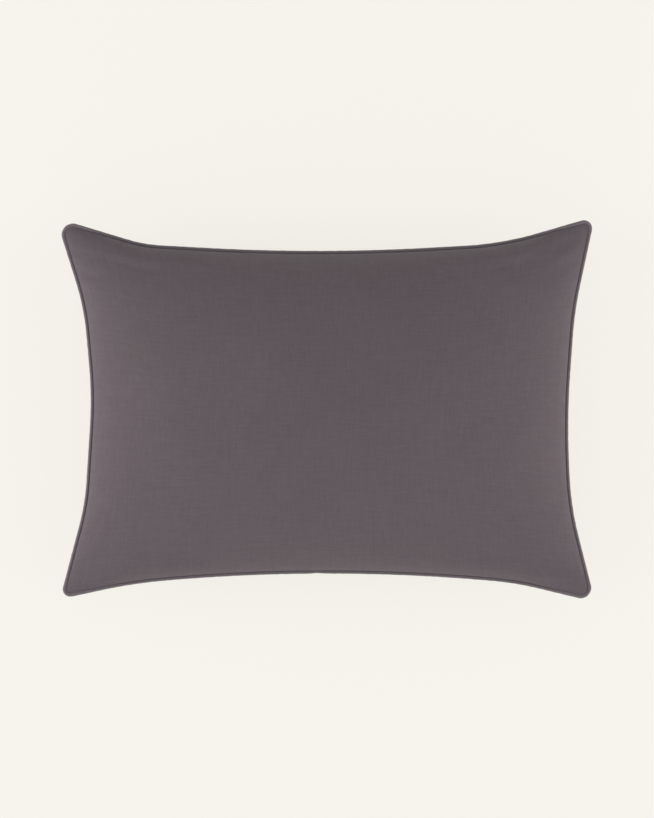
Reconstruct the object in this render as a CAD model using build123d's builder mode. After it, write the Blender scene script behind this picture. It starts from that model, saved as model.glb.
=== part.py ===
from build123d import *
from math import asin, copysign, cos, degrees, radians, sin, sqrt, tan
import os

# A bed pillow for the 50 x 70 cm size: a piped cover with a zip, on a stuffed insert.
# X runs along the long sides, Y along the short sides and Z up, out of the front face.
# The pillow lies on its back, and the origin is under its middle, on what it lies on.
# All lengths are in millimetres. An inset is a distance in from the pillow's outer edge.

# ---- Driving dimensions -----------------------------------------------------------------

SEAM_Z = 86.0  # the plane of the seam that runs all the way round
CROWN_Z = 186.0
DOME_POWER = 2.2  # how square the dome is across the pillow: 2 is an ellipse
DOME_SHARPNESS = 0.62  # how it meets the seam: 0.5 stands upright there
CROWN_LEVEL = 0.97  # the share of the full dome at which the front is cut level
REST_LEVEL = 0.90  # the same for the back, which the pillow's weight flattens more
DOME_LEVELS = (0.0, 0.06, 0.13, 0.23, 0.36, 0.5, 0.65, 0.79)
EDGE_ROLL_LEVEL = 0.16  # up to here the dome keeps the edge's own outline
FULL_DOME_LEVEL = 0.5  # from here on it has the dome's outline

# The corners of the pillow's outer edge, anticlockwise: x, y and the radius that rounds each.
# A tip is a corner with a small radius. Between two tips come a knee, a middle and a knee.
ZIP_SIDE_R = 2460.0
ZIP_SIDE_PEAK_Y = -207.6
ZIP_SIDE_SLOPE = 0.083
EDGE_CORNERS = [
    (-350.5, -249.5, 10.0),
    (-252.0, ZIP_SIDE_PEAK_Y - 252.0 * ZIP_SIDE_SLOPE, 670.0),
    (0.0, ZIP_SIDE_PEAK_Y, ZIP_SIDE_R),
    (247.0, ZIP_SIDE_PEAK_Y - 247.0 * ZIP_SIDE_SLOPE, 430.0),
    (352.0, -253.5, 14.0),
    (320.0, -127.0, 410.0),
    (315.0, -10.5, 1040.0),
    (325.0, 128.5, 500.0),
    (351.5, 252.5, 11.0),
    (229.5, 217.0, 435.0),
    (-13.0, 203.5, 2640.0),
    (-240.0, 216.0, 190.0),
    (-356.0, 251.0, 15.0),
    (-319.0, 133.5, 340.0),
    (-308.5, 17.0, 540.0),
    (-317.5, -124.0, 300.0),
]
TIP_R_MIN = 3.0
RUN_SHARES = (0.2, 0.8)

# The cover, with its piping let into the seam.
COVER_CLOTH = 0.8
PIPING_R = 2.5
PIPING_BORE_R = 1.8
PIPING_CORD_R = 1.7
FLANGE = 1.4  # both layers of the wrap, flat between the two panels
LAYER_GAP = 0.1
PANEL_INSET = 5.3
ALLOWANCE_INSET = 17.0  # where the turned-in seam allowance ends
SEAM_STITCH_INSET = 8.5
STITCH_R = 0.25
OVERLOCK_R = 0.9

# The insert inside the cover, and the filling inside the insert.
TICKING = 0.8
INSERT_SHARE = 0.895  # its size in plan, as a share of the cover's
INSERT_GAP = 0.5  # between the cover and the insert at the crown
FILL_SHARE = 0.83
FILL_GAP = 0.4

# The zip lies under the piping of one long side, and faces outwards and a little down.
ZIP_DROP = 8.0  # the chain's middle, below the seam plane
ZIP_INSET = 6.9
ZIP_TILT = 30.0
ZIP_HALF_LENGTH = 200.0
TAPE_HALF_LENGTH = 207.0
TAPE_THICKNESS = 0.6
TAPE_WIDTH = 14.0
TAPE_SLIT = 1.4
CHAIN_SLIT = 1.2  # the coils stand this far apart, so that the slider's post can pass
CHAIN_WIDTH = 6.0
CHAIN_THICKNESS = 2.2
SLOT_DROP = 13.5  # the slot's lower edge, below the seam plane
SLOT_STITCH_DROP = 15.5

STOP_LENGTH = 2.4
SLIDER_X = 190.0
SLIDER_LENGTH = 11.0
SLIDER_WIDTH = 9.0
SLIDER_TAIL_WIDTH = 7.8
SLIDER_PLATE = 1.2
SLIDER_GAP = 0.4  # between the slider and what it runs on
SLIDER_POST = 0.6
BAIL_WIDTH = 1.4
BAIL_LENGTH = 7.0
PULL_PIN_R = 0.7
PULL_GAP = 0.35
PULL_LENGTH = 26.0
PULL_WIDTH = 5.6
PULL_THICKNESS = 1.2
PULL_HOLE_R = 1.1


# ---- The edge and the dome over it ------------------------------------------------------


def edge_corners(inset, share=1.0):
    """Each corner moved in and scaled, with its direction in, its turn and its radius."""
    corners = []
    for i, (x, y, radius) in enumerate(EDGE_CORNERS):
        here = Vector(x, y)
        before = Vector(*EDGE_CORNERS[i - 1][:2])
        after = Vector(*EDGE_CORNERS[(i + 1) % len(EDGE_CORNERS)][:2])
        into = (here - before).normalized()
        out = (after - here).normalized()
        side_in = into.rotate(Axis.Z, 90)
        side_out = out.rotate(Axis.Z, 90)
        turn = into.get_signed_angle(out, Vector(0, 0, 1))
        moved = here + (side_in + side_out) * (inset / (1 + side_in.dot(side_out)))
        rounding = max(radius - copysign(inset, turn), TIP_R_MIN)
        corners.append((moved * share, into, turn, rounding * share))
    return corners


def edge_wire(inset, share=1.0):
    """The pillow's outer edge, or a line that far inside it, as tangent lines and arcs."""
    corners = edge_corners(inset, share)
    with BuildLine() as edge:
        FilletPolyline(
            [moved for moved, _, _, _ in corners],
            radius=[rounding for _, _, _, rounding in corners],
            close=True,
        )
    return edge.wire()


def edge_points(inset, share=1.0):
    """Points along that line: two on each straight run, and more on the arcs that need it."""
    points = []
    for moved, into, turn, rounding in edge_corners(inset, share):
        start = moved - into * (rounding * tan(radians(abs(turn)) / 2))
        centre = start + into.rotate(Axis.Z, copysign(90, turn)) * rounding
        steps = 4 if abs(turn) > 90 else 6 if rounding > ZIP_SIDE_R / 2 else 2
        arc = [centre + (start - centre).rotate(Axis.Z, turn * k / steps) for k in range(steps + 1)]
        if points:
            points += [points[-1] + (arc[0] - points[-1]) * part for part in RUN_SHARES]
        points += arc
    return points + [points[-1] + (points[0] - points[-1]) * part for part in RUN_SHARES]


def dome_sink(level):
    """How far in from the edge the dome has reached that level, as a share of the way."""
    return 1 - (1 - level ** (1 / DOME_SHARPNESS)) ** (1 / DOME_POWER)


def dome_reach(point, level):
    """How much of the way out to this point of the edge the dome is still at that level.

    The dome's height is ((1 - |u|^p) (1 - |v|^p))^q, where u and v go from -1 to 1 across
    the pillow. Along a ray from the middle, that is a quadratic in the distance^p.
    """
    u = abs(point.X) / EDGE_HALF_LENGTH
    v = abs(point.Y) / EDGE_HALF_DEPTH
    squareness = (min(u, v) / max(u, v)) ** DOME_POWER
    drop = 1 - level ** (1 / DOME_SHARPNESS)
    total = 1 + squareness
    return (2 * drop / (total + sqrt(total**2 - 4 * squareness * drop))) ** (1 / DOME_POWER)


def dome_outline(inset, share, level):
    """The dome's outline at that level, as points: the edge's low down, rounder higher up."""
    roll = edge_points(inset + EDGE_MIDDLE_DEPTH * dome_sink(level), share)
    dome = [point * dome_reach(point, level) for point in edge_points(inset, share)]
    blend = (level - EDGE_ROLL_LEVEL) / (FULL_DOME_LEVEL - EDGE_ROLL_LEVEL)
    blend = min(max(blend, 0.0), 1.0)
    return [low + (high - low) * blend for low, high in zip(roll, dome)]


def add_dome(inset, share, seam_z, top_z, top_level, mode=Mode.ADD):
    """A closed half pillow, from the seam to a level face where the dome is cut off."""
    sections = []
    for level in (*DOME_LEVELS, top_level):
        height = seam_z + (top_z - seam_z) * level / top_level
        with BuildSketch(Plane.XY.offset(height)) as section:
            with BuildLine():
                Spline(dome_outline(inset, share, level), periodic=True)
            make_face()
        sections.append(section.sketch)
    if top_z > seam_z:
        sections.reverse()
    loft(sections, ruled=True, mode=mode)


def edge_band(low_z, high_z, outer_inset, inner_inset):
    """A flat band that runs round the edge between two insets."""
    with BuildSketch(Plane.XY.offset(min(low_z, high_z))) as band:
        with BuildLine():
            add(edge_wire(outer_inset))
        make_face()
        with BuildLine():
            add(edge_wire(inner_inset))
        make_face(mode=Mode.SUBTRACT)
    extrude(band.sketch, amount=abs(high_z - low_z))


def edge_strand(inset, z, radius, mode=Mode.ADD, share=1.0):
    """A round strand that runs all the way round at that inset."""
    path = edge_wire(inset, share).moved(Location((0, 0, z)))
    with BuildSketch(Plane(origin=path @ 0, z_dir=path % 0)) as section:
        Circle(radius)
    sweep(section.sketch, path=path, mode=mode)


EDGE_BOX = edge_wire(0).bounding_box()
EDGE_HALF_LENGTH = EDGE_BOX.size.X / 2
EDGE_HALF_DEPTH = EDGE_BOX.size.Y / 2
EDGE_MIDDLE_DEPTH = -ZIP_SIDE_PEAK_Y


# ---- The zip's own frame ----------------------------------------------------------------

# The middle arc of the zip's side, whose centre lies far out in front of the pillow.
side_rise = ZIP_SIDE_R * (sqrt(1 + ZIP_SIDE_SLOPE**2) - 1)
ZIP_AXIS_Y = ZIP_SIDE_PEAK_Y - side_rise - ZIP_SIDE_R
ZIP_AXIS = Axis((0, ZIP_AXIS_Y, 0), (0, 0, 1))
CHAIN_R = ZIP_SIDE_R + ZIP_INSET
CHAIN_Z = SEAM_Z - ZIP_DROP


def zip_turn(x):
    """How far round the zip's arc that x is, in degrees, positive towards +X."""
    return degrees(asin(x / CHAIN_R))


def across_zip(x, tilt=ZIP_TILT):
    """A plane across the zip, from the chain's middle: its x into the pillow, its y up."""
    turn = radians(zip_turn(x))
    inwards = Vector(sin(turn), cos(turn), 0)
    along = inwards.cross(Vector(0, 0, 1))
    middle = Vector(0, ZIP_AXIS_Y, CHAIN_Z) + inwards * CHAIN_R
    return Plane(middle, inwards.rotate(Axis((0, 0, 0), along), tilt), along)


def run_along_zip(profile, from_x, to_x, mode=Mode.ADD):
    """Turns a sketch that was made across the zip at to_x back along the zip to from_x."""
    revolve(profile, ZIP_AXIS, zip_turn(to_x) - zip_turn(from_x), mode=mode)


def rectangle_between(low, high, mode=Mode.ADD):
    """A rectangle in the current sketch, from its low corner to its high one."""
    with Locations(((low[0] + high[0]) / 2, (low[1] + high[1]) / 2)):
        Rectangle(high[0] - low[0], high[1] - low[1], mode=mode)


# ---- The cover --------------------------------------------------------------------------

PANEL_GAP = FLANGE / 2 + LAYER_GAP  # from the seam plane to each panel


def cover_panel(seam_z, top_z, top_level):
    """One face of the cover, open at the seam, with its seam allowance turned in."""
    up = copysign(1, top_z - seam_z)
    add_dome(PANEL_INSET, 1.0, seam_z, top_z, top_level)
    lining_inset = PANEL_INSET + COVER_CLOTH
    add_dome(lining_inset, 1.0, seam_z, top_z - up * COVER_CLOTH, top_level, Mode.SUBTRACT)
    edge_band(seam_z, seam_z + up * COVER_CLOTH, PANEL_INSET + COVER_CLOTH / 2, ALLOWANCE_INSET)


with BuildPart() as cover_front_panel:
    cover_panel(SEAM_Z + PANEL_GAP, CROWN_Z, CROWN_LEVEL)

with BuildPart() as cover_back_panel:
    cover_panel(SEAM_Z - PANEL_GAP, 0, REST_LEVEL)
    slot_end_x = TAPE_HALF_LENGTH + SLIDER_GAP
    with BuildSketch(across_zip(slot_end_x, 0)) as slot:
        rectangle_between(
            (-ZIP_INSET, ZIP_DROP - SLOT_DROP),
            (ALLOWANCE_INSET + 1 - ZIP_INSET, ZIP_DROP),
        )
    run_along_zip(slot.sketch, -slot_end_x, slot_end_x, Mode.SUBTRACT)

with BuildPart() as piping_wrap:
    edge_strand(PIPING_R, SEAM_Z, PIPING_R)
    edge_band(SEAM_Z - FLANGE / 2, SEAM_Z + FLANGE / 2, 2 * PIPING_R - FLANGE / 2, ALLOWANCE_INSET)
    edge_strand(PIPING_R, SEAM_Z, PIPING_BORE_R, Mode.SUBTRACT)

with BuildPart() as piping_cord:
    edge_strand(PIPING_R, SEAM_Z, PIPING_CORD_R)

with BuildPart() as cover_seam_thread:
    stitch_z = SEAM_Z + PANEL_GAP + COVER_CLOTH + STITCH_R + LAYER_GAP
    edge_strand(SEAM_STITCH_INSET, stitch_z, STITCH_R)

with BuildPart() as cover_overlock_thread:
    edge_strand(ALLOWANCE_INSET + OVERLOCK_R + LAYER_GAP, SEAM_Z, OVERLOCK_R)


# ---- The insert -------------------------------------------------------------------------

INSERT_CROWN_Z = CROWN_Z - COVER_CLOTH - INSERT_GAP
INSERT_BACK_Z = COVER_CLOTH + INSERT_GAP


def insert_panel(seam_z, top_z, top_level):
    """One face of the insert, open at the seam."""
    inner_z = top_z - copysign(TICKING, top_z - seam_z)
    add_dome(PANEL_INSET, INSERT_SHARE, seam_z, top_z, top_level)
    add_dome(PANEL_INSET + TICKING, INSERT_SHARE, seam_z, inner_z, top_level, Mode.SUBTRACT)


with BuildPart() as insert_front_panel:
    insert_panel(SEAM_Z + LAYER_GAP, INSERT_CROWN_Z, CROWN_LEVEL)

with BuildPart() as insert_back_panel:
    insert_panel(SEAM_Z - LAYER_GAP, INSERT_BACK_Z, REST_LEVEL)

with BuildPart() as insert_seam_thread:
    inside_seam = PANEL_INSET + 2 * TICKING + OVERLOCK_R
    edge_strand(inside_seam, SEAM_Z, OVERLOCK_R, share=INSERT_SHARE)

with BuildPart() as fill:
    add_dome(PANEL_INSET, FILL_SHARE, SEAM_Z, INSERT_CROWN_Z - TICKING - FILL_GAP, CROWN_LEVEL)
    add_dome(PANEL_INSET, FILL_SHARE, SEAM_Z, INSERT_BACK_Z + TICKING + FILL_GAP, REST_LEVEL)


# ---- The zip's tapes, chain, stops and stitching ----------------------------------------

TAPE_FRONT = CHAIN_THICKNESS / 2  # how far behind the chain's middle the tape starts
TAPE_MIDDLE = TAPE_FRONT + TAPE_THICKNESS / 2

with BuildPart() as zip_tape_lower:
    with BuildSketch(across_zip(TAPE_HALF_LENGTH)) as lower_tape:
        rectangle_between((TAPE_FRONT, -TAPE_WIDTH), (TAPE_FRONT + TAPE_THICKNESS, -TAPE_SLIT / 2))
    run_along_zip(lower_tape.sketch, -TAPE_HALF_LENGTH, TAPE_HALF_LENGTH)

# The upper tape clears the slider, turns up to the seam and lies in under the flange.
with BuildPart() as zip_tape_upper:
    under_flange = ZIP_DROP - PANEL_GAP - LAYER_GAP - TAPE_THICKNESS / 2
    tape_foot = Vector(TAPE_MIDDLE, TAPE_SLIT / 2).rotate(Axis.Z, ZIP_TILT)
    tape_bend = Vector(TAPE_MIDDLE, SLIDER_WIDTH / 2 + SLIDER_GAP).rotate(Axis.Z, ZIP_TILT)
    with BuildSketch(across_zip(TAPE_HALF_LENGTH, 0)) as upper_tape:
        with BuildLine():
            FilletPolyline(
                tape_foot,
                tape_bend,
                (PANEL_INSET + COVER_CLOTH - ZIP_INSET, under_flange),
                (ALLOWANCE_INSET - ZIP_INSET, under_flange),
                radius=TAPE_THICKNESS,
            )
        trace(line_width=TAPE_THICKNESS)
    run_along_zip(upper_tape.sketch, -TAPE_HALF_LENGTH, TAPE_HALF_LENGTH)


def zip_coil(side):
    """One half of the chain, on the upper tape (side 1) or on the lower tape (side -1)."""
    inner = side * CHAIN_SLIT / 2
    outer = side * CHAIN_WIDTH / 2
    with BuildSketch(across_zip(ZIP_HALF_LENGTH)) as profile:
        rectangle_between((-TAPE_FRONT, min(inner, outer)), (TAPE_FRONT, max(inner, outer)))
        fillet(vertices().group_by(Axis.X)[0], CHAIN_THICKNESS / 4)
    run_along_zip(profile.sketch, -ZIP_HALF_LENGTH, ZIP_HALF_LENGTH)


with BuildPart() as zip_coil_upper:
    zip_coil(1)

with BuildPart() as zip_coil_lower:
    zip_coil(-1)


def zip_stop(from_x, low, high):
    """A stop on the front of the tape, just past the chain's end."""
    with BuildSketch(across_zip(from_x + STOP_LENGTH)) as profile:
        rectangle_between((-TAPE_FRONT, low), (TAPE_FRONT, high))
    run_along_zip(profile.sketch, from_x, from_x + STOP_LENGTH)


with BuildPart() as zip_top_stop_upper:
    zip_stop(ZIP_HALF_LENGTH + LAYER_GAP, CHAIN_SLIT / 2, CHAIN_WIDTH / 2)

with BuildPart() as zip_top_stop_lower:
    zip_stop(ZIP_HALF_LENGTH + LAYER_GAP, -CHAIN_WIDTH / 2, -CHAIN_SLIT / 2)

with BuildPart() as zip_bottom_stop:
    zip_stop(-ZIP_HALF_LENGTH - LAYER_GAP - STOP_LENGTH, -CHAIN_WIDTH / 2, CHAIN_WIDTH / 2)

# One row of stitches holds the slot's edge down on the lower tape.
with BuildPart() as zip_stitch_thread:
    stitch_level = (SLOT_STITCH_DROP - PANEL_GAP) / (SEAM_Z - PANEL_GAP) * REST_LEVEL
    stitch_inset = PANEL_INSET + EDGE_MIDDLE_DEPTH * dome_sink(stitch_level) - STITCH_R - LAYER_GAP
    with BuildSketch(across_zip(TAPE_HALF_LENGTH, 0)) as profile:
        with Locations((stitch_inset - ZIP_INSET, ZIP_DROP - SLOT_STITCH_DROP)):
            Circle(STITCH_R)
    run_along_zip(profile.sketch, -TAPE_HALF_LENGTH, TAPE_HALF_LENGTH)


# ---- The slider and its pull, at rest at the zip's closed end ---------------------------

SLIDER_FRONT = TAPE_FRONT + SLIDER_GAP  # the front plate's inner face, out from the chain
SLIDER_BACK = TAPE_FRONT + TAPE_THICKNESS + SLIDER_GAP  # the back plate's, behind the chain
PIN_OUT = SLIDER_FRONT + SLIDER_PLATE + PULL_GAP + PULL_PIN_R
BAIL_WINDOW = PULL_PIN_R + PULL_GAP  # half the window that the pull's pin lies in


def zip_face(out):
    """A plane on the zip's front at the slider: x along the zip, y up the tape, z out."""
    across = across_zip(SLIDER_X)
    return Plane(across.origin, across.z_dir, -across.x_dir).offset(out)


with BuildPart() as zip_slider:
    with BuildSketch(zip_face(-SLIDER_BACK - SLIDER_PLATE)) as plate:
        with BuildLine():
            Polyline(
                (-SLIDER_LENGTH / 2, -SLIDER_TAIL_WIDTH / 2),
                (SLIDER_LENGTH / 2, -SLIDER_WIDTH / 2),
                (SLIDER_LENGTH / 2, SLIDER_WIDTH / 2),
                (-SLIDER_LENGTH / 2, SLIDER_TAIL_WIDTH / 2),
                close=True,
            )
        make_face()
        fillet(vertices(), SLIDER_PLATE)
    extrude(amount=SLIDER_FRONT + SLIDER_BACK + 2 * SLIDER_PLATE)
    # The channel that the two coils run in, and the slots that the tapes come out through.
    with BuildSketch(zip_face(-SLIDER_BACK)):
        Rectangle(2 * SLIDER_LENGTH, CHAIN_WIDTH + 2 * SLIDER_GAP)
    extrude(amount=SLIDER_FRONT + SLIDER_BACK, mode=Mode.SUBTRACT)
    with BuildSketch(zip_face(-SLIDER_BACK)):
        Rectangle(2 * SLIDER_LENGTH, 2 * SLIDER_WIDTH)
    extrude(amount=TAPE_THICKNESS + 2 * SLIDER_GAP, mode=Mode.SUBTRACT)
    # The post that spreads the coils, which also joins the two plates.
    with BuildSketch(zip_face(-SLIDER_BACK)):
        with Locations((SLIDER_LENGTH / 4, 0)):
            Rectangle(SLIDER_LENGTH / 3, SLIDER_POST)
    extrude(amount=SLIDER_FRONT + SLIDER_BACK)
    # The bail over the pull's pin.
    with BuildSketch(zip_face(SLIDER_FRONT + SLIDER_PLATE)):
        RectangleRounded(BAIL_LENGTH, BAIL_WIDTH, BAIL_WIDTH / 3)
    extrude(amount=2 * BAIL_WINDOW + BAIL_WIDTH / 2)
    with BuildSketch(zip_face(SLIDER_FRONT + SLIDER_PLATE)):
        Rectangle(2 * BAIL_WINDOW, 2 * BAIL_WIDTH)
    extrude(amount=2 * BAIL_WINDOW, mode=Mode.SUBTRACT)

with BuildPart() as zip_pull:
    with BuildSketch(zip_face(PIN_OUT - PULL_THICKNESS / 2)):
        with Locations((-PULL_LENGTH / 2 + PULL_PIN_R, 0)):
            RectangleRounded(PULL_LENGTH, PULL_WIDTH, PULL_WIDTH / 3)
        with Locations((-PULL_LENGTH + PULL_WIDTH / 2, 0)):
            Circle(PULL_HOLE_R, mode=Mode.SUBTRACT)
        rectangle_between(
            (-BAIL_LENGTH / 2 - PULL_GAP, -BAIL_WINDOW),
            (2 * PULL_PIN_R, BAIL_WINDOW),
            Mode.SUBTRACT,
        )
    extrude(amount=PULL_THICKNESS)
    across = across_zip(SLIDER_X)
    with BuildSketch(Plane(across.origin, across.x_dir, across.y_dir)):
        with Locations((-PIN_OUT, 0)):
            Circle(PULL_PIN_R)
    extrude(amount=PULL_WIDTH / 2 - PULL_PIN_R, both=True)


# ---- Labels and files -------------------------------------------------------------------

cover_front_panel.part.label = "cover_front_panel"
cover_back_panel.part.label = "cover_back_panel"
piping_wrap.part.label = "piping_wrap"
piping_cord.part.label = "piping_cord"
cover_seam_thread.part.label = "cover_seam_thread"
cover_overlock_thread.part.label = "cover_overlock_thread"
insert_front_panel.part.label = "insert_front_panel"
insert_back_panel.part.label = "insert_back_panel"
insert_seam_thread.part.label = "insert_seam_thread"
fill.part.label = "fill"
zip_tape_upper.part.label = "zip_tape_upper"
zip_tape_lower.part.label = "zip_tape_lower"
zip_coil_upper.part.label = "zip_coil_upper"
zip_coil_lower.part.label = "zip_coil_lower"
zip_top_stop_upper.part.label = "zip_top_stop_upper"
zip_top_stop_lower.part.label = "zip_top_stop_lower"
zip_bottom_stop.part.label = "zip_bottom_stop"
zip_stitch_thread.part.label = "zip_stitch_thread"
zip_slider.part.label = "zip_slider"
zip_pull.part.label = "zip_pull"

os.makedirs("parts", exist_ok=True)
export_step(cover_front_panel.part, "parts/cover_front_panel.step")
export_step(cover_back_panel.part, "parts/cover_back_panel.step")
export_step(piping_wrap.part, "parts/piping_wrap.step")
export_step(piping_cord.part, "parts/piping_cord.step")
export_step(cover_seam_thread.part, "parts/cover_seam_thread.step")
export_step(cover_overlock_thread.part, "parts/cover_overlock_thread.step")
export_step(insert_front_panel.part, "parts/insert_front_panel.step")
export_step(insert_back_panel.part, "parts/insert_back_panel.step")
export_step(insert_seam_thread.part, "parts/insert_seam_thread.step")
export_step(fill.part, "parts/fill.step")
export_step(zip_tape_upper.part, "parts/zip_tape_upper.step")
export_step(zip_tape_lower.part, "parts/zip_tape_lower.step")
export_step(zip_coil_upper.part, "parts/zip_coil_upper.step")
export_step(zip_coil_lower.part, "parts/zip_coil_lower.step")
export_step(zip_top_stop_upper.part, "parts/zip_top_stop_upper.step")
export_step(zip_top_stop_lower.part, "parts/zip_top_stop_lower.step")
export_step(zip_bottom_stop.part, "parts/zip_bottom_stop.step")
export_step(zip_stitch_thread.part, "parts/zip_stitch_thread.step")
export_step(zip_slider.part, "parts/zip_slider.step")
export_step(zip_pull.part, "parts/zip_pull.step")
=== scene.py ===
import math

import bpy
import numpy as np
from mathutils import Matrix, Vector


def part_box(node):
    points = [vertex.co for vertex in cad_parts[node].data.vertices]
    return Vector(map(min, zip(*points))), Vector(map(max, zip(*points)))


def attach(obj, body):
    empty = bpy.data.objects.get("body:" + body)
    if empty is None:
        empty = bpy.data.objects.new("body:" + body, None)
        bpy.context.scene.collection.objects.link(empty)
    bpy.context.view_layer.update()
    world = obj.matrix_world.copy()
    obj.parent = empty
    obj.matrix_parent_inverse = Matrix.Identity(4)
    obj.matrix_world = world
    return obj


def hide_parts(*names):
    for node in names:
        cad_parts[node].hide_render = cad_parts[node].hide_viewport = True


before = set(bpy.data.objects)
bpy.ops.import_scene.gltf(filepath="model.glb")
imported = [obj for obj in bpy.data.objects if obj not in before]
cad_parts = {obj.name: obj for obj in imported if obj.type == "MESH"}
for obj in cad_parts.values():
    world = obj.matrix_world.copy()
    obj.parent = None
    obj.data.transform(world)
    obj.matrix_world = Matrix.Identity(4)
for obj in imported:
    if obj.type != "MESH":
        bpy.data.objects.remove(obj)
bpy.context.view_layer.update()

# A dark piped bed pillow, seen from above. Lengths are in metres, in the frame of the CAD
# model: X along the long sides, Y away from the zip, Z up out of the front face.

# ---- Sizes ------------------------------------------------------------------------------

SEAM_Z = sum(corner[2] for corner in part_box("piping_cord")) / 2
CROWN_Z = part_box("cover_front_panel")[1][2]
PIPING_R = 0.0025
PIPING_BORE_R = 0.0019
FLANGE = 0.0014  # both layers of the wrap, flat in the seam
ALLOWANCE_INSET = 0.017  # where the turned-in seam allowance ends
SEAM_STITCH_INSET = 0.0085
PANEL_INSET = 0.0043  # the panels come out from under the piping here
PANEL_GAP = 0.0008  # and this far above or below the seam
DOME_POWER = 2.2  # how square the dome is across the pillow: 2 is an ellipse
DOME_SHARPNESS = 0.62  # how it meets the seam: 0.5 stands upright there
REST_LEVEL = 0.90  # the share of the full dome at which the back lies flat
CLOTH = 0.0008
TICKING = 0.0004

# The corners of the pillow's outer edge, anticlockwise: x, y and the radius that rounds each.
# A tip is a corner with a small radius. Between two tips come a knee, a middle and a knee.
ZIP_SIDE_R = 2.46
ZIP_SIDE_PEAK_Y = -0.2076
ZIP_SIDE_SLOPE = 0.083
EDGE_CORNERS = [
    (-0.3505, -0.2495, 0.010),
    (-0.252, ZIP_SIDE_PEAK_Y - 0.252 * ZIP_SIDE_SLOPE, 0.67),
    (0.0, ZIP_SIDE_PEAK_Y, ZIP_SIDE_R),
    (0.247, ZIP_SIDE_PEAK_Y - 0.247 * ZIP_SIDE_SLOPE, 0.43),
    (0.352, -0.2535, 0.014),
    (0.320, -0.127, 0.41),
    (0.315, -0.0105, 1.04),
    (0.325, 0.1285, 0.50),
    (0.3515, 0.2525, 0.011),
    (0.2295, 0.217, 0.435),
    (-0.013, 0.2035, 2.64),
    (-0.240, 0.216, 0.19),
    (-0.356, 0.251, 0.015),
    (-0.319, 0.1335, 0.34),
    (-0.3085, 0.017, 0.54),
    (-0.3175, -0.124, 0.30),
]
TIP_TURN = math.radians(90)
CUT_SIZE = (0.70, 0.50)  # the cloth of one panel, between its seams


# ---- The edge ---------------------------------------------------------------------------


def turned(vector, angle):
    """A 2-D vector turned anticlockwise."""
    c, s = math.cos(angle), math.sin(angle)
    return np.array([c * vector[0] - s * vector[1], s * vector[0] + c * vector[1]])


def edge_loop(inset, step, scale=1.0):
    """Points round the pillow's edge, that far inside it, and the index of each tip."""
    points, tips = [], []
    for i, (x, y, radius) in enumerate(EDGE_CORNERS):
        here = np.array([x, y])
        into = here - np.array(EDGE_CORNERS[i - 1][:2])
        out = np.array(EDGE_CORNERS[(i + 1) % len(EDGE_CORNERS)][:2]) - here
        into, out = into / np.linalg.norm(into), out / np.linalg.norm(out)
        turn = math.atan2(into[0] * out[1] - into[1] * out[0], into @ out)
        side_in, side_out = turned(into, math.pi / 2), turned(out, math.pi / 2)
        moved = here + (side_in + side_out) * inset / (1 + side_in @ side_out)
        rounding = max(radius - math.copysign(inset, turn), 0.003)
        start = moved - into * rounding * math.tan(abs(turn) / 2)
        centre = start + turned(into, math.copysign(math.pi / 2, turn)) * rounding
        steps = 2 * max(2, math.ceil(abs(turn) * rounding / step / 2))
        if points:
            run = start - points[-1]
            count = max(1, round(np.linalg.norm(run) / step))
            points += [points[-1] + run * k / count for k in range(1, count)]
        if turn > TIP_TURN:
            tips.append(len(points) + steps // 2)
        points += [centre + turned(start - centre, turn * k / steps) for k in range(steps + 1)]
    run = points[0] - points[-1]
    count = max(1, round(np.linalg.norm(run) / step))
    points += [points[-1] + run * k / count for k in range(1, count)]
    return np.array(points) * scale, tips


def edge_sides(inset, scale=1.0):
    """The four sides from tip to tip: bottom and top along +X, left and right along +Y."""
    loop, tips = edge_loop(inset, 0.001, scale)
    ends = tips[1:] + [tips[0] + len(loop)]
    sides = [loop.take(range(a, b + 1), axis=0, mode="wrap") for a, b in zip(tips, ends)]
    bottom, right, top, left = sides
    return bottom, right, top[::-1], left[::-1]


def along(side, shares):
    """Points at those shares of a side's length."""
    lengths = np.concatenate([[0], np.cumsum(np.linalg.norm(np.diff(side, axis=0), axis=1))])
    wanted = np.clip(shares, 0, 1) * lengths[-1]
    return np.stack([np.interp(wanted, lengths, side[:, k]) for k in (0, 1)], axis=-1)


def smooth(x, low, high):
    """0 below low and 1 above high, with a soft step between them."""
    t = np.clip((x - low) / (high - low), 0, 1)
    return t * t * (3 - 2 * t)


# ---- The dome ---------------------------------------------------------------------------


def plan(u, v, inset, scale=1.0):
    """Where the cloth's grid point (u, v), each from -1 to 1, lies in plan."""
    bottom, right, top, left = edge_sides(inset, scale)
    s, r = (u + 1) / 2, (v + 1) / 2
    low, high = along(bottom, s), along(top, s)
    first, last = along(left, r), along(right, r)
    s, r = s[..., None], r[..., None]
    corners = (1 - s) * (1 - r) * bottom[0] + s * (1 - r) * bottom[-1]
    corners = corners + (1 - s) * r * top[0] + s * r * top[-1]
    return (1 - r) * low + r * high + (1 - s) * first + s * last - corners


def dome_level(u, v):
    """The dome's height at (u, v), from 0 at the seam to 1. Beside the long seams, and away
    from the tips, it depends on v alone, so that the zip lies evenly along its side."""
    beside_seam = smooth(np.abs(v), 0.84, 0.975) * (1 - smooth(np.abs(u), 0.62, 0.95))
    across = 1 - np.abs(u) ** DOME_POWER * (1 - beside_seam)
    return (across * (1 - np.abs(v) ** DOME_POWER)) ** DOME_SHARPNESS


def level_off(share, softness=0.06):
    """A height share that flattens softly at 1."""
    h = np.clip(0.5 + 0.5 * (1 - share) / softness, 0, 1)
    return share * h + (1 - h) - softness * h * (1 - h)


def crowded(count):
    """Grid values from -1 to 1 that crowd together towards both ends."""
    t = np.linspace(-1, 1, count)
    return t + 0.75 * np.sin(np.pi * t) / np.pi


def cloth_grid(columns, rows):
    """The (u, v) grid of a panel."""
    return np.meshgrid(crowded(columns), crowded(rows))


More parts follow.
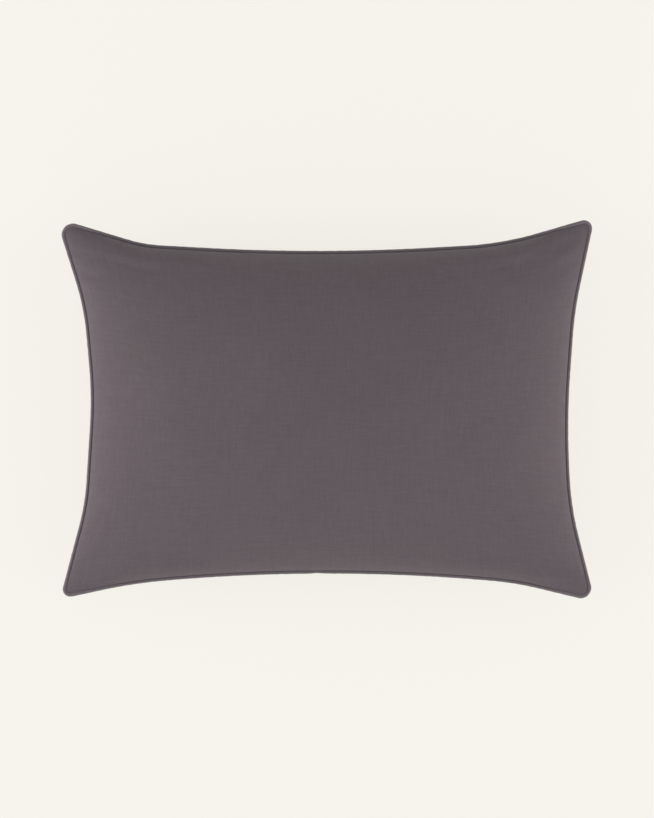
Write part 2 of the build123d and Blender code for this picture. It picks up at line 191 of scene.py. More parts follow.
def grid_mesh(name, points, cloth_uv, flip=False):
    """A mesh object from a grid of points, with each point's place on the flat cloth."""
    rows, columns = points.shape[:2]
    index = np.arange(rows * columns).reshape(rows, columns)
    quads = np.stack([index[:-1, :-1], index[:-1, 1:], index[1:, 1:], index[1:, :-1]], axis=-1)
    quads = quads.reshape(-1, 4)
    if flip:
        quads = quads[:, ::-1]
    return mesh_object(name, points.reshape(-1, 3), quads, cloth_uv.reshape(-1, 2))


def mesh_object(name, points, faces, cloth_uv):
    """A smooth-shaded mesh object whose points carry a place on the flat cloth."""
    mesh = bpy.data.meshes.new(name)
    mesh.from_pydata([tuple(p) for p in points], [], [tuple(int(i) for i in f) for f in faces])
    mesh.update()
    flat = np.zeros((len(points), 3), np.float32)
    flat[:, :2] = cloth_uv
    attribute = mesh.attributes.new("cloth", "FLOAT_VECTOR", "POINT")
    attribute.data.foreach_set("vector", flat.ravel())
    mesh.polygons.foreach_set("use_smooth", [True] * len(mesh.polygons))
    obj = bpy.data.objects.new(name, mesh)
    bpy.context.scene.collection.objects.link(obj)
    return obj


def unevenness(x, y, seed, height):
    """A slow, irregular rise and fall, as loose filling gives."""
    random = np.random.default_rng(seed)
    total = np.zeros_like(x)
    for _ in range(10):
        length = random.uniform(0.12, 0.3)
        way, phase = random.uniform(0, 2 * np.pi, 2)
        total += np.cos(2 * np.pi * (x * np.cos(way) + y * np.sin(way)) / length + phase)
    return total * height / 4


def seam_puckers(u, v, seed, height):
    """Fine gathers that run in from the seam and fade within a few centimetres."""
    random = np.random.default_rng(seed)
    total = np.zeros_like(u)
    half_width, half_length = CUT_SIZE[0] / 2, CUT_SIZE[1] / 2
    for lengthwise, seamwise in ((u * half_width, (1 - np.abs(v)) * half_length),
                                 (v * half_length, (1 - np.abs(u)) * half_width)):
        wave = np.zeros_like(u)
        for _ in range(6):
            length, phase = random.uniform(0.009, 0.03), random.uniform(0, 2 * np.pi)
            wave += np.cos(2 * np.pi * lengthwise / length + phase)
        total += wave / 3 * np.exp(-seamwise / 0.014) * smooth(seamwise, 0, 0.004)
    return total * height


# Soft folds near the tips: x, y, the way each runs, its length, its width and its depth.
TIP_FOLDS = [
    (-0.318, 0.174, 4, 0.020, 0.0080, 0.0030),
    (-0.333, 0.205, -8, 0.014, 0.0065, 0.0022),
    (0.306, -0.212, -14, 0.026, 0.0070, 0.0028),
    (0.303, -0.229, -12, 0.024, 0.0060, 0.0018),
    (0.322, 0.190, 12, 0.020, 0.0085, 0.0022),
    (-0.322, -0.205, 16, 0.022, 0.0080, 0.0022),
    (-0.306, -0.120, -4, 0.018, 0.0095, 0.0014),
    (0.314, -0.105, 5, 0.018, 0.0095, 0.0014),
    (-0.290, 0.214, -16, 0.030, 0.0085, 0.0016),
    (0.292, 0.212, 15, 0.030, 0.0085, 0.0014),
]


def tip_folds(x, y):
    """The height of the soft folds: a dip with a low ridge on either side."""
    total = np.zeros_like(x)
    for fold_x, fold_y, way, length, width, depth in TIP_FOLDS:
        c, s = math.cos(math.radians(way)), math.sin(math.radians(way))
        run = ((x - fold_x) * c + (y - fold_y) * s) / length
        off = ((y - fold_y) * c - (x - fold_x) * s) / width
        total -= depth * (1 - off**2) * np.exp(-(off**2) / 2 - run**2)
    return total


# ---- The cover --------------------------------------------------------------------------

SLOT_HALF_LENGTH = 0.2048
SLOT_DROP = 0.0135  # the slot's lower edge, below the seam
SLOT_STITCH_DROP = 0.0155


def thicken(obj, thickness):
    """Gives a sheet its cloth's thickness, on the inner side, and applies it."""
    solid = obj.modifiers.new("cloth", "SOLIDIFY")
    solid.thickness = thickness
    solid.offset = -1
    apply_modifiers(obj)


def apply_modifiers(obj):
    """Puts the modifiers' result into the mesh."""
    bpy.context.view_layer.update()
    graph = bpy.context.evaluated_depsgraph_get()
    mesh = bpy.data.meshes.new_from_object(obj.evaluated_get(graph))
    obj.modifiers.clear()
    obj.data = mesh


def front_panel():
    """The front of the cover, which bulges up from the seam."""
    u, v = cloth_grid(321, 241)
    xy = plan(u, v, PANEL_INSET)
    level = dome_level(u, v)
    z = SEAM_Z + PANEL_GAP + (CROWN_Z - SEAM_Z - PANEL_GAP) * level
    inside = smooth(level, 0.2, 0.8)
    z += unevenness(xy[..., 0], xy[..., 1], 7, 0.0016) * inside
    z += seam_puckers(u, v, 11, 0.0004)
    z += tip_folds(xy[..., 0], xy[..., 1]) * smooth(level, 0, 0.2)
    cloth_uv = np.stack([u * CUT_SIZE[0] / 2, v * CUT_SIZE[1] / 2], axis=-1)
    obj = grid_mesh("cover_front", np.concatenate([xy, z[..., None]], axis=-1), cloth_uv)
    thicken(obj, CLOTH)
    return obj


def back_reach(drop):
    """How far out, from 0 to 1, the back panel is that far below the seam, beside the zip."""
    level = (drop - PANEL_GAP) / (SEAM_Z - PANEL_GAP) * REST_LEVEL
    return (1 - level ** (1 / DOME_SHARPNESS)) ** (1 / DOME_POWER)


def back_panel():
    """The back of the cover: flat where it lies, and cut back along the zip."""
    u, v = cloth_grid(321, 241)
    x = plan(u, np.full_like(u, -1.0), PANEL_INSET)[..., 0]
    low, high = SLOT_HALF_LENGTH - 0.0015, SLOT_HALF_LENGTH + 0.0015
    cut = (1 - back_reach(SLOT_DROP)) * (1 - smooth(np.abs(x), low, high))
    v = 1 - (1 - v) * (1 - cut / 2)
    xy = plan(u, v, PANEL_INSET)
    level = dome_level(u, v)
    z = SEAM_Z - PANEL_GAP - (SEAM_Z - PANEL_GAP) * level_off(level / REST_LEVEL)
    free = 1 - smooth(level, 0.6, 0.88)
    z += unevenness(xy[..., 0], xy[..., 1], 19, 0.002) * free * smooth(level, 0.2, 0.5)
    from_zip = np.abs(v + 1) + 3 * np.maximum(0, np.abs(u) - 0.62)
    z += seam_puckers(u, v, 23, 0.0004) * smooth(from_zip, 0.1, 0.2)
    cloth_uv = np.stack([u * CUT_SIZE[0] / 2, v * CUT_SIZE[1] / 2], axis=-1)
    grid = np.concatenate([xy, z[..., None]], axis=-1)
    obj = grid_mesh("cover_back", grid, cloth_uv, flip=True)
    thicken(obj, CLOTH)
    return obj


# The piping is one bias strip. Its two ends overlap a little off the middle of one side.
PIPING_JOIN_X = -0.013


def seam_band(outer, inner, low_z, high_z, per_side=260):
    """The points and faces of a flat band that follows the edge, between two insets."""
    shares = np.linspace(0, 1, per_side, endpoint=False)
    rings = []
    for inset, z in ((outer, low_z), (outer, high_z), (inner, high_z), (inner, low_z)):
        bottom, right, top, left = edge_sides(inset)
        sides = (bottom, right, top[::-1], left[::-1])
        ring = np.concatenate([along(side, shares) for side in sides])
        rings.append(np.column_stack([ring, np.full(len(ring), z)]))
    points = np.stack(rings, axis=1)
    length = np.linspace(0, 2 * sum(CUT_SIZE), len(points))[:, None]
    cloth_uv = np.stack(np.broadcast_arrays(length, [[outer, outer, inner, inner]]), axis=-1)
    return points.reshape(-1, 3), wrapped_quads(len(points), 4, True), cloth_uv.reshape(-1, 2)


def wrapped_quads(rings, sides, closed):
    """The faces between rings of points that each close on themselves."""
    index = np.arange(rings * sides).reshape(rings, sides)
    ahead = np.roll(index, -1, axis=0)
    around = np.roll(index, -1, axis=1)
    both = np.roll(ahead, -1, axis=1)
    quads = np.stack([index, around, both, ahead], axis=-1)
    if closed:
        return list(quads.reshape(-1, 4))
    return list(quads[:-1].reshape(-1, 4)) + [index[0][::-1], index[-1]]


def joined(name, parts):
    """One mesh object from several sets of points, faces and places on the cloth."""
    points, faces, cloth_uv, first = [], [], [], 0
    for part_points, part_faces, part_uv in parts:
        points.append(part_points)
        cloth_uv.append(part_uv)
        faces += [np.asarray(face) + first for face in part_faces]
        first += len(part_points)
    return mesh_object(name, np.concatenate(points), faces, np.concatenate(cloth_uv))


def tube(path, radii, sides, closed):
    """The points, faces and cloth places of a round tube along a 3-D path."""
    path = np.asarray(path)
    if closed:
        tangents = np.roll(path, -1, axis=0) - np.roll(path, 1, axis=0)
    else:
        tangents = np.gradient(path, axis=0)
    tangents /= np.linalg.norm(tangents, axis=1)[:, None]
    steps = np.linalg.norm(np.diff(path, axis=0, prepend=path[:1]), axis=1)
    up = np.where(np.abs(tangents[:, 2:]) < 0.9, [[0, 0, 1.0]], [[1.0, 0, 0]])
    side = np.cross(tangents, up)
    side /= np.linalg.norm(side, axis=1)[:, None]
    over = np.cross(side, tangents)
    angles = np.linspace(0, 2 * np.pi, sides, endpoint=False)
    radii = np.broadcast_to(radii, (len(path), sides))
    ring = side[:, None] * np.cos(angles)[:, None] + over[:, None] * np.sin(angles)[:, None]
    points = path[:, None] + ring * radii[..., None]
    place_along = np.cumsum(steps)[:, None]
    cloth_uv = np.stack(np.broadcast_arrays(place_along, (angles * radii.mean())[None]), axis=-1)
    faces = wrapped_quads(len(path), sides, closed)
    return points.reshape(-1, 3), faces, cloth_uv.reshape(-1, 2)


def piping():
    """The cord's bias strip, drawn in a little at its join, with its flange in the seam."""
    loop, _ = edge_loop(PIPING_R, 0.0012)
    random = np.random.default_rng(5)
    lap = np.linspace(0, 2 * np.pi, len(loop), endpoint=False)
    wobble = sum(np.cos(lap * k + random.uniform(0, 6.28)) for k in random.integers(60, 260, 12))
    radii = PIPING_R * (1 + 0.009 * wobble)
    from_join = np.where(loop[:, 1] < 0, loop[:, 0] - PIPING_JOIN_X, 1.0)
    radii *= 1 + 0.16 * np.exp(-((from_join / 0.0035) ** 2))
    loop[:, 1] += 0.0011 * np.exp(-((from_join / 0.006) ** 2))
    path = np.column_stack([loop, np.full(len(loop), SEAM_Z)])
    skin = tube(path, radii[:, None], 20, True)
    bore = tube(path, PIPING_BORE_R, 12, True)
    inside_out = (bore[0], [face[::-1] for face in bore[1]], bore[2])
    under_wrap = 2 * PIPING_R - 0.0004
    flange = seam_band(under_wrap, ALLOWANCE_INSET, SEAM_Z - FLANGE / 2, SEAM_Z + FLANGE / 2)
    return joined("piping", [skin, inside_out, flange])


def piping_cord():
    """The cotton cord in the piping: three strands laid round one another."""
    loop, _ = edge_loop(PIPING_R, 0.0012)
    path = np.column_stack([loop, np.full(len(loop), SEAM_Z)])
    ahead = np.roll(path, -1, axis=0) - np.roll(path, 1, axis=0)
    ahead /= np.linalg.norm(ahead, axis=1)[:, None]
    out = np.cross(ahead, [0, 0, 1.0])
    turns = 2 * np.pi * 210 * np.arange(len(path)) / len(path)
    strands = []
    for strand in range(3):
        lay = (turns + strand * 2 * np.pi / 3)[:, None]
        away = out * np.cos(lay) + [0, 0, 1] * np.sin(lay)
        strands.append(tube(path + 0.00085 * away, 0.00078, 8, True))
    return joined("piping_cord", strands)


def stitch_row(name, path, length, gap, radius, closed=True):
    """Separate machine stitches along a path, each dipping into the cloth at its ends."""
    path = np.asarray(path)
    if closed:
        path = np.concatenate([path, path[:1]])
    far = np.concatenate([[0], np.cumsum(np.linalg.norm(np.diff(path, axis=0), axis=1))])
    stitches = []
    for start in np.arange(0, far[-1] - length, length + gap):
        at = start + length * np.linspace(0, 1, 5)
        points = np.stack([np.interp(at, far, path[:, k]) for k in range(3)], axis=-1)
        thickness = radius * np.array([0.5, 0.9, 1.0, 0.9, 0.5])[:, None]
        stitches.append(tube(points, thickness, 6, False))
    return joined(name, stitches)


def edge_path(inset, z, scale=1.0, step=0.002):
    """The edge at that inset and height, as 3-D points."""
    loop, _ = edge_loop(inset, step, scale)
    return np.column_stack([loop, np.full(len(loop), z)])


def overlock(name, outer, inner, half_height, scale=1.0):
    """Overlock thread that zigzags over the cut edges of a seam."""
    outside = edge_path(outer, SEAM_Z, scale, 0.0015)
    far = np.concatenate([[0], np.cumsum(np.linalg.norm(np.diff(outside, axis=0), axis=1))])
    at = np.arange(0, far[-1], 0.0006)
    outside = np.stack([np.interp(at, far, outside[:, k]) for k in range(3)], axis=-1)
    ahead = np.roll(outside, -1, axis=0) - np.roll(outside, 1, axis=0)
    ahead /= np.linalg.norm(ahead, axis=1)[:, None]
    inwards = np.cross([0, 0, 1.0], ahead)
    phase = (np.arange(len(at)) * 2 * np.pi / 5)[:, None]
    middle = outside + inwards * (inner - outer) / 2
    wrap = inwards * (inner - outer) / 2 * np.cos(phase) + [0, 0, half_height] * np.sin(phase)
    return joined(name, [tube(middle + wrap, 0.00018, 5, True)])


# ---- The insert and its filling ---------------------------------------------------------

INSERT_SHARE = 0.895
FILL_SHARE = 0.83


def inner_skin(name, share, up, thickness):
    """One face of the insert, the cover's shape drawn in towards the middle."""
    u, v = cloth_grid(161, 121)
    xy = plan(u, v, PANEL_INSET, share)
    level = dome_level(u, v)
    if up:
        z = SEAM_Z + 0.0002 + (CROWN_Z - SEAM_Z) * share * level
    else:
        z = SEAM_Z - 0.0002 - SEAM_Z * share * level_off(level / REST_LEVEL)
    way = 1 if up else -1
    z += way * unevenness(xy[..., 0], xy[..., 1], 31 + up, 0.0012) * smooth(level, 0.3, 0.8)
    z += way * seam_puckers(u, v, 41 + up, 0.0006)
    cloth_uv = np.stack([u * CUT_SIZE[0] / 2, v * CUT_SIZE[1] / 2], axis=-1) * share
    obj = grid_mesh(name, np.concatenate([xy, z[..., None]], axis=-1), cloth_uv, flip=not up)
    thicken(obj, thickness)
    return obj


def filling():
    """The loose fibre in the insert, one lofty body with a tufted surface."""
    u, v = cloth_grid(161, 121)
    xy = plan(u, v, PANEL_INSET, FILL_SHARE)
    level = dome_level(u, v)
    tufts = unevenness(xy[..., 0] * 6, xy[..., 1] * 6, 57, 0.001) * smooth(level, 0.1, 0.5)
    up = SEAM_Z + (CROWN_Z - SEAM_Z) * FILL_SHARE * level + tufts
    down = SEAM_Z - SEAM_Z * FILL_SHARE * level_off(level / REST_LEVEL) - tufts
    top = grid_mesh("filling", np.concatenate([xy, up[..., None]], axis=-1), xy)
    low = grid_mesh("filling_low", np.concatenate([xy, down[..., None]], axis=-1), xy, flip=True)
    with bpy.context.temp_override(active_object=top, selected_editable_objects=[top, low]):
        bpy.ops.object.join()
    weld = top.modifiers.new("weld", "WELD")
    weld.merge_threshold = 0.00001
    apply_modifiers(top)
    return top


# ---- The zip ----------------------------------------------------------------------------

ZIP_INSET = 0.0069
ZIP_DROP = 0.008
ZIP_TILT = math.radians(30)
ZIP_HALF_LENGTH = 0.200
TAPE_HALF_LENGTH = 0.207
CHAIN_R = ZIP_SIDE_R + ZIP_INSET
ARC_CENTRE_Y = ZIP_SIDE_PEAK_Y - ZIP_SIDE_R / math.cos(math.atan(ZIP_SIDE_SLOPE))
COIL_PITCH = 0.0015
TAPE_WIDTH = 0.014
TAPE_THICKNESS = 0.0006
TAPE_BEHIND = 0.0014  # from the chain's middle to the tape's


def on_zip(x, behind, up, tilt=ZIP_TILT):
    """The 3-D point at x along the zip, that far behind the chain's middle and up the tape."""
    x, behind, up = np.broadcast_arrays(x, behind, up)
    turn = np.arcsin(x / CHAIN_R)
    inwards = np.stack([np.sin(turn), np.cos(turn), np.zeros_like(turn)], axis=-1)
    rise = np.array([0, 0, 1.0])
    back = inwards * math.cos(tilt) + rise * math.sin(tilt)
    climb = rise * math.cos(tilt) - inwards * math.sin(tilt)
    chain = inwards * CHAIN_R + np.array([0, ARC_CENTRE_Y, SEAM_Z - ZIP_DROP])
    return chain + back * behind[..., None] + climb * up[..., None]


def tape(name, profile, ends):
    """A zip tape: a woven strip whose section, in and up, is swept along the zip."""
    profile = np.array(profile)
    far = np.concatenate([[0], np.cumsum(np.linalg.norm(np.diff(profile, axis=0), axis=1))])
    at = np.linspace(0, far[-1], 25)
    section = np.stack([np.interp(at, far, profile[:, k]) for k in (0, 1)], axis=-1)
    x = np.linspace(-ends, ends, 277)
    points = on_zip(x[:, None], section[None, :, 0], section[None, :, 1], tilt=0)
    cloth_uv = np.stack(np.broadcast_arrays(x[:, None], at[None]), axis=-1)
    obj = grid_mesh(name, points, cloth_uv)
    solid = obj.modifiers.new("weave", "SOLIDIFY")
    solid.thickness = TAPE_THICKNESS
    solid.offset = 0
    apply_modifiers(obj)
    return obj


def tilted(behind, up):
    """A point of the zip's tilted section, in its upright one."""
    c, s = math.cos(ZIP_TILT), math.sin(ZIP_TILT)
    return behind * c - up * s, behind * s + up * c


def zip_tapes():
    """The lower tape hangs inside the back panel and the upper one turns up into the seam."""
    hanging = [tilted(TAPE_BEHIND, -TAPE_WIDTH), tilted(TAPE_BEHIND, -0.0007)]
    lower = tape("zip_tape_lower", hanging, TAPE_HALF_LENGTH)
    under_flange = ZIP_DROP - 0.0009
    bend = tilted(TAPE_BEHIND, 0.0049)
    turn = [(bend[0] + 0.0004, under_flange - 0.0006), (bend[0] + 0.0012, under_flange)]
    end = (ALLOWANCE_INSET - ZIP_INSET, under_flange)
    profile = [tilted(TAPE_BEHIND, 0.0007), bend, *turn, end]
    return lower, tape("zip_tape_upper", profile, TAPE_HALF_LENGTH)


def coil(name, side):
    """Half of the chain: one nylon filament wound in turns, on the upper or the lower tape."""
    turns = int(2 * ZIP_HALF_LENGTH / COIL_PITCH) - 1
    angle = np.arange(turns * 14) * 2 * np.pi / 14
    x = -ZIP_HALF_LENGTH + 0.0004 + (angle / (2 * np.pi) + (0.5 if side > 0 else 0)) * COIL_PITCH
    reach = np.sign(np.cos(angle)) * np.abs(np.cos(angle)) ** 0.7
    height = np.sign(np.sin(angle)) * np.abs(np.sin(angle)) ** 0.8
    up = side * (0.00168 - 0.00100 * reach)
    points = on_zip(x, 0.00077 * height, up)
    thickness = np.where(reach > 0.8, 0.00036, 0.00032)[:, None]
    return joined(name, [tube(points, thickness, 7, False)])


def zip_stitches():
    """The row that holds the slot's folded edge down on the lower tape, just proud of it."""
    u = np.linspace(-0.75, 0.75, 900)
    xy = plan(u, np.full_like(u, -back_reach(SLOT_STITCH_DROP)), PANEL_INSET)
    xy = xy[np.abs(xy[:, 0]) < SLOT_HALF_LENGTH - 0.002]
    path = np.column_stack([xy, np.full(len(xy), SEAM_Z - SLOT_STITCH_DROP)])
    path += np.array([0, -0.00005, -0.00003])
    return stitch_row("zip_stitches", path, 0.0027, 0.0008, 0.00028, closed=False)


def rounded_copy(node, name, radius):
    """A metal piece of the CAD model with its edges eased."""
    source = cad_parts[node]
    obj = bpy.data.objects.new(name, source.data.copy())
    obj.matrix_world = source.matrix_world.copy()
    bpy.context.scene.collection.objects.link(obj)
    weld = obj.modifiers.new("weld", "WELD")
    weld.merge_threshold = 0.00001
    bevel = obj.modifiers.new("eased", "BEVEL")
    bevel.width = radius
    bevel.segments = 3
    bevel.limit_method = "ANGLE"
    bevel.angle_limit = math.radians(50)
    apply_modifiers(obj)
    return obj


# ---- Materials --------------------------------------------------------------------------


class Shader:
    """A node material on a Principled shader, with short ways to add its nodes."""

    def __init__(self, name):
        self.material = bpy.data.materials.new(name)
        self.material.use_nodes = True
        self.tree = self.material.node_tree
        self.principled = self.tree.nodes["Principled BSDF"]

    def node(self, kind, **settings):
        """Adds a node. A setting is a property of it, or one of its sockets by name."""
        node = self.tree.nodes.new(kind)
        for key, value in settings.items():
            if hasattr(node, key):
                setattr(node, key, value)
            else:
                self.feed(node.inputs[key.replace("_", " ")], value)
        return node

    def feed(self, socket, value):
        """Links a node's output into a socket, or sets the socket's value."""
        if isinstance(value, bpy.types.NodeSocket):
            self.tree.links.new(value, socket)
        else:
            socket.default_value = value

    def set(self, **sockets):
        """Sets or links the shader's own sockets."""
        for key, value in sockets.items():
            self.feed(self.principled.inputs[key.replace("_", " ")], value)

    def math(self, operation, first, second=0.0):
        """The result of a Math node."""
        node = self.tree.nodes.new("ShaderNodeMath")
        node.operation = operation
        self.feed(node.inputs[0], first)
        self.feed(node.inputs[1], second)
        return node.outputs[0]

    def cloth_place(self):
        """The place on the flat cloth, in metres, as x and y."""
        place = self.node("ShaderNodeAttribute", attribute_name="cloth")
        split = self.node("ShaderNodeSeparateXYZ", Vector=place.outputs["Vector"])
        return place.outputs["Vector"], split.outputs["X"], split.outputs["Y"]

    def noise(self, vector, stretch, detail=2.0, roughness=0.5):
        """Noise whose features are that many to the metre along each axis, about 0.5."""
        mapping = self.node("ShaderNodeMapping", Vector=vector, Scale=stretch)
        texture = self.node("ShaderNodeTexNoise", Vector=mapping.outputs["Vector"], Scale=1.0)
        texture.inputs["Detail"].default_value = detail
        texture.inputs["Roughness"].default_value = roughness
        return texture.outputs["Fac"]

    def tint(self, colour, shade):
        """A colour times a number, as a colour."""
        mix = self.node("ShaderNodeVectorMath", operation="SCALE")
        mix.inputs[0].default_value = colour[:3]
        self.feed(mix.inputs["Scale"], shade)
        return mix.outputs["Vector"]

    def bump(self, height, distance, strength=1.0, normal=None):
        """A bump from a height of 0 to 1 that stands for that distance."""
        node = self.node("ShaderNodeBump", Height=height, Distance=distance, Strength=strength)
        if normal is not None:
            self.feed(node.inputs["Normal"], normal)
        return node.outputs["Normal"]


def plain_weave(shader, x, y, pitch):
    """The height of a plain weave, 0 to 1: warp and weft threads that take turns on top."""
    across = shader.math("MULTIPLY", x, math.pi / pitch)
    down = shader.math("MULTIPLY", y, math.pi / pitch)
    sin_x, sin_y = shader.math("SINE", across), shader.math("SINE", down)
    round_x = shader.math("ABSOLUTE", sin_x)
    round_y = shader.math("ABSOLUTE", sin_y)
    checker = shader.math("GREATER_THAN", shader.math("MULTIPLY", sin_x, sin_y), 0.0)
    over = shader.math("MULTIPLY", round_x, checker)
    under = shader.math("MULTIPLY", round_y, shader.math("SUBTRACT", 1.0, checker))
    return shader.math("ADD", over, under)


def cloth_material(name, colour, pitch, slub, sheen, bias=False):
    """Plain-weave cotton: fine threads, slubs both ways, and a short nap that catches light."""
    shader = Shader(name)
    place, x, y = shader.cloth_place()
    if bias:
        x, y = shader.math("ADD", x, y), shader.math("SUBTRACT", x, y)
    weave = plain_weave(shader, x, y, pitch)
    lengthwise = shader.noise(place, (45.0, 330.0, 1.0), 3.0, 0.6)
    crosswise = shader.noise(place, (330.0, 45.0, 1.0), 3.0, 0.6)
    warp_bands = shader.noise(place, (140.0, 14.0, 1.0), 2.0, 0.5)
    weft_bands = shader.noise(place, (14.0, 140.0, 1.0), 2.0, 0.5)
    cloudy = shader.noise(place, (9.0, 9.0, 1.0), 3.0, 0.55)
    speck = shader.noise(place, (1300.0, 1300.0, 1.0), 1.0, 0.5)
    shade = 1.0
    swings = ((lengthwise, slub), (crosswise, slub), (warp_bands, slub * 0.4),
              (weft_bands, slub * 0.4), (cloudy, 0.10), (speck, 0.14))
    for value, amount in swings:
        swing = shader.math("MULTIPLY", shader.math("SUBTRACT", value, 0.5), amount)
        shade = shader.math("ADD", shade, swing)
    # The weave's raised threads are painted up to 5 % lighter than the hollows between them:
    # painted shade in the weave.
    shade = shader.math("ADD", shade, shader.math("MULTIPLY", weave, 0.05))
    shader.set(Base_Color=shader.tint(colour, shade))
    roughness = shader.math("ADD", 0.86, shader.math("MULTIPLY", speck, 0.08))
    shader.set(Roughness=roughness, Specular_IOR_Level=0.22)
    shader.set(Sheen_Weight=sheen, Sheen_Roughness=0.45, Sheen_Tint=(0.86, 0.80, 0.83, 1.0))
    slubs = shader.math("ADD", lengthwise, crosswise)
    rough = shader.bump(slubs, 0.00035, 0.5)
    shader.set(Normal=shader.bump(weave, 0.00012, 0.7, rough))
    return shader.material


def solid_material(name, colour, roughness, grain, metallic=0.0, coat=0.0):
    """A moulded, spun or painted finish with a fine grain and a little unevenness."""
    shader = Shader(name)
    place = shader.node("ShaderNodeTexCoord").outputs["Object"]
    fine = shader.noise(place, (grain, grain, grain), 3.0)
    worn = shader.noise(place, (60.0, 60.0, 60.0), 2.0)
    shade = shader.math("ADD", 0.9, shader.math("MULTIPLY", worn, 0.2))
    shader.set(Base_Color=shader.tint(colour, shade))
    shader.set(Roughness=shader.math("ADD", roughness, shader.math("MULTIPLY", fine, 0.12)))
    shader.set(Metallic=metallic, Coat_Weight=coat, Coat_Roughness=0.3)
    shader.set(Normal=shader.bump(fine, 0.00005, 0.4))
    return shader.material


def twill_material(name, colour, pitch):
    """Zip tape: polyester twill whose ribs turn back every few millimetres."""
    shader = Shader(name)
    place, x, y = shader.cloth_place()
    ribs = shader.math("PINGPONG", y, 0.0035)
    diagonal = shader.math("ADD", x, ribs)
    wave = shader.math("SINE", shader.math("MULTIPLY", diagonal, 2 * math.pi / pitch))
    height = shader.math("ADD", 0.5, shader.math("MULTIPLY", wave, 0.5))
    speck = shader.noise(place, (900.0, 900.0, 1.0), 2.0)
    # The twill's rib crowns are painted up to 16 % lighter than the hollows between them:
    # painted shade in the ribs. The speck is random tone.
    shade = shader.math("ADD", 0.82, shader.math("MULTIPLY", height, 0.16))
    shade = shader.math("ADD", shade, shader.math("MULTIPLY", speck, 0.14))
    shader.set(Base_Color=shader.tint(colour, shade))
    shader.set(Roughness=0.72, Specular_IOR_Level=0.35, Sheen_Weight=0.15)
    shader.set(Normal=shader.bump(height, 0.00012, 0.8))
    return shader.material


CLOTH_COLOUR = (0.119, 0.0975, 0.110)
PIPING_COLOUR_WITH_PAINTED_LIGHT = (0.150, 0.127, 0.140)  # lighter than the panels: painted light, so that its rim shows from above in spite of the shade beside the dome
WHITE_COTTON = (0.74, 0.72, 0.68)


# ---- The floor, light and camera --------------------------------------------------------

VIEW_WIDTH = 0.858  # what the picture spans at the height of the seam
CAMERA_HEIGHT = 3.2


def floor():
    """A plain, pale, evenly lit table top."""
    bpy.ops.mesh.primitive_plane_add(size=12, location=(0, 0, -0.0002))
    plane = bpy.context.object
    plane.name = "floor"
    shader = Shader("floor")
    shader.set(Base_Color=(0.12, 0.12, 0.12, 1.0), Roughness=1.0, Specular_IOR_Level=0.0)
    shader.set(Emission_Color=(0.807, 0.783, 0.730, 1.0), Emission_Strength=1.0)
    plane.data.materials.append(shader.material)


def area_light(name, place, size, power):
    """A soft box that looks at the pillow."""
    data = bpy.data.lights.new(name, "AREA")
    data.shape = "RECTANGLE"
    data.size, data.size_y = size
    data.energy = power
    light = bpy.data.objects.new(name, data)
    light.location = place
    towards = Vector((0, 0, SEAM_Z)) - Vector(place)
    light.rotation_euler = towards.to_track_quat("-Z", "Y").to_euler()
    bpy.context.scene.collection.objects.link(light)


def lights():
    """Soft light from all round, a little more from the zip's side and from both ends."""
    world = bpy.data.worlds.new("studio")
    world.use_nodes = True
    tree = world.node_tree
    background = tree.nodes["Background"]
    background.inputs["Color"].default_value = (1.0, 0.99, 0.97, 1.0)
    split = tree.nodes.new("ShaderNodeSeparateXYZ")
    strength = tree.nodes.new("ShaderNodeMath")
    strength.operation = "MULTIPLY_ADD"
    strength.inputs[1].default_value = -0.13
    strength.inputs[2].default_value = 0.62
    tree.links.new(tree.nodes.new("ShaderNodeTexCoord").outputs["Generated"], split.inputs[0])
    tree.links.new(split.outputs["Y"], strength.inputs[0])
    tree.links.new(strength.outputs[0], background.inputs["Strength"])
    bpy.context.scene.world = world
    area_light("front_box", (0.0, -2.2, 1.6), (2.4, 1.2), 6)
    area_light("left_box", (-2.3, -0.1, 0.8), (1.0, 1.6), 36)
    area_light("right_box", (2.3, -0.1, 0.8), (1.0, 1.6), 28)


def camera():
    """Straight above the pillow, with its long side level in the picture."""
    data = bpy.data.cameras.new("camera")
    data.sensor_fit = "HORIZONTAL"
    data.lens = data.sensor_width * (CAMERA_HEIGHT - SEAM_Z) / VIEW_WIDTH
    data.clip_end = 50
    obj = bpy.data.objects.new("camera", data)
    obj.location = (0, 0, CAMERA_HEIGHT)
    bpy.context.scene.collection.objects.link(obj)
    bpy.context.scene.camera = obj
    bpy.context.scene.view_settings.view_transform = "Standard"


# ---- Putting it together ----------------------------------------------------------------


def place(obj, material, slot, replaced=(), fill=None, body="pillow"):
    """Finishes a piece: its material, its body and the CAD nodes it stands for, which it hides.
    The slot is not used.
    """
    obj.data.materials.clear()
    obj.data.materials.append(material)
    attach(obj, body)
    if replaced:
        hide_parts(*replaced)


cover_cloth = cloth_material("cover_cloth", CLOTH_COLOUR, 0.0004, 0.26, 0.12)
# The piping's cloth is painted lighter than the panels': painted light on its rim.
piping_cloth = cloth_material("piping_cloth", PIPING_COLOUR_WITH_PAINTED_LIGHT, 0.0004, 0.2, 0.65, bias=True)

ticking = cloth_material("ticking", WHITE_COTTON, 0.0003, 0.08, 0.15)
cord_cotton = cloth_material("cotton_cord", WHITE_COTTON, 0.0003, 0.2, 0.3)
fibre = solid_material("fibre_fill", (0.82, 0.82, 0.80), 0.8, 900.0)
dark_thread = solid_material("thread", (0.10, 0.082, 0.092), 0.55, 5000.0)
white_thread = solid_material("ticking_thread", WHITE_COTTON, 0.6, 5000.0)
zip_weave = twill_material("zip_tape", (0.060, 0.052, 0.057), 0.0011)
nylon = solid_material("zip_coil", (0.045, 0.040, 0.043), 0.32, 3000.0)
metal = solid_material("zip_metal", (0.085, 0.078, 0.082), 0.24, 4000.0, metallic=0.85, coat=0.5)

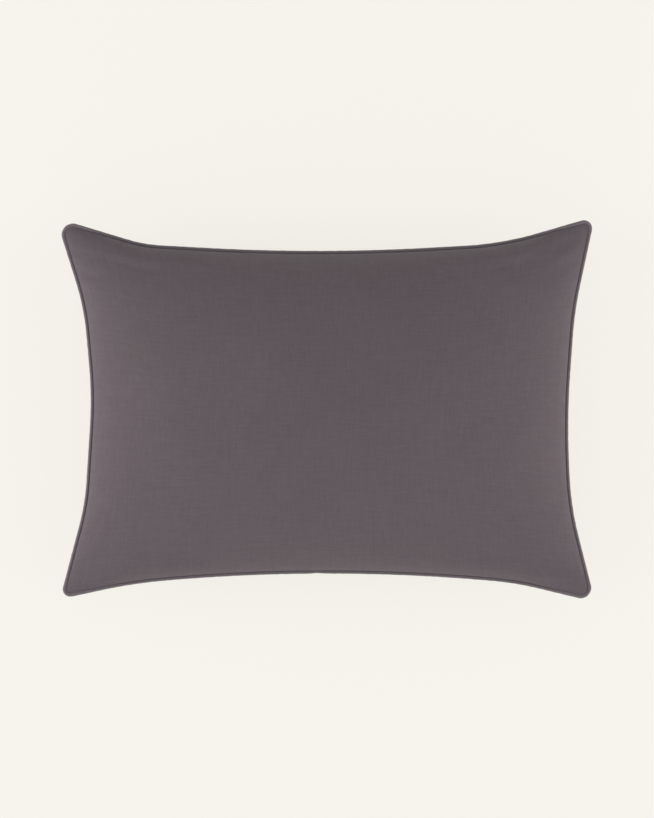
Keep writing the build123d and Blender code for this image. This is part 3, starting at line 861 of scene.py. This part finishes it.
place(front_panel(), cover_cloth, "cover_cloth", ["cover_front_panel"], fill=0.85)
place(back_panel(), cover_cloth, "cover_cloth", ["cover_back_panel"], fill=0.85)
place(piping(), piping_cloth, "piping_cloth", ["piping_wrap"])
place(piping_cord(), cord_cotton, "cotton_cord", ["piping_cord"])
seam_path = edge_path(SEAM_STITCH_INSET, SEAM_Z)
seam_stitches = stitch_row("cover_seam_stitches", seam_path, 0.0026, 0.0006, 0.00025)
place(seam_stitches, dark_thread, "thread", ["cover_seam_thread"])
cover_overlock = overlock("cover_overlock", 0.0125, ALLOWANCE_INSET + 0.0002, 0.0012)
place(cover_overlock, dark_thread, "thread", ["cover_overlock_thread"])

insert_front = inner_skin("insert_front", INSERT_SHARE, True, TICKING)
place(insert_front, ticking, "ticking", ["insert_front_panel"], fill=0.85)
insert_back = inner_skin("insert_back", INSERT_SHARE, False, TICKING)
place(insert_back, ticking, "ticking", ["insert_back_panel"], fill=0.85)
insert_edge = (PANEL_INSET + 0.0016, PANEL_INSET + 0.0040)
insert_seam = overlock("insert_seam", *insert_edge, 0.0006, INSERT_SHARE)
place(insert_seam, white_thread, "ticking_thread", ["insert_seam_thread"])
place(filling(), fibre, "fibre_fill", ["fill"], fill=0.85)

tape_lower, tape_upper = zip_tapes()
place(tape_lower, zip_weave, "zip_tape", ["zip_tape_lower"])
place(tape_upper, zip_weave, "zip_tape", ["zip_tape_upper"])
place(coil("zip_coil_upper_turns", 1), nylon, "zip_coil", ["zip_coil_upper"])
place(coil("zip_coil_lower_turns", -1), nylon, "zip_coil", ["zip_coil_lower"])
place(zip_stitches(), dark_thread, "thread", ["zip_stitch_thread"])

# The metal pieces: the node, the new piece, how far its edges are eased, and its body.
METAL_PIECES = [
    ("zip_top_stop_upper", "zip_top_stop_upper_crimp", 0.0004, "pillow"),
    ("zip_top_stop_lower", "zip_top_stop_lower_crimp", 0.0004, "pillow"),
    ("zip_bottom_stop", "zip_bottom_stop_crimp", 0.0005, "pillow"),
    ("zip_slider", "zip_slider_cast", 0.00018, "zip_slider"),
    ("zip_pull", "zip_pull_cast", 0.00018, "zip_pull"),
]
for node, name, radius, body in METAL_PIECES:
    place(rounded_copy(node, name, radius), metal, "zip_metal", [node], body=body)

floor()
lights()
camera()
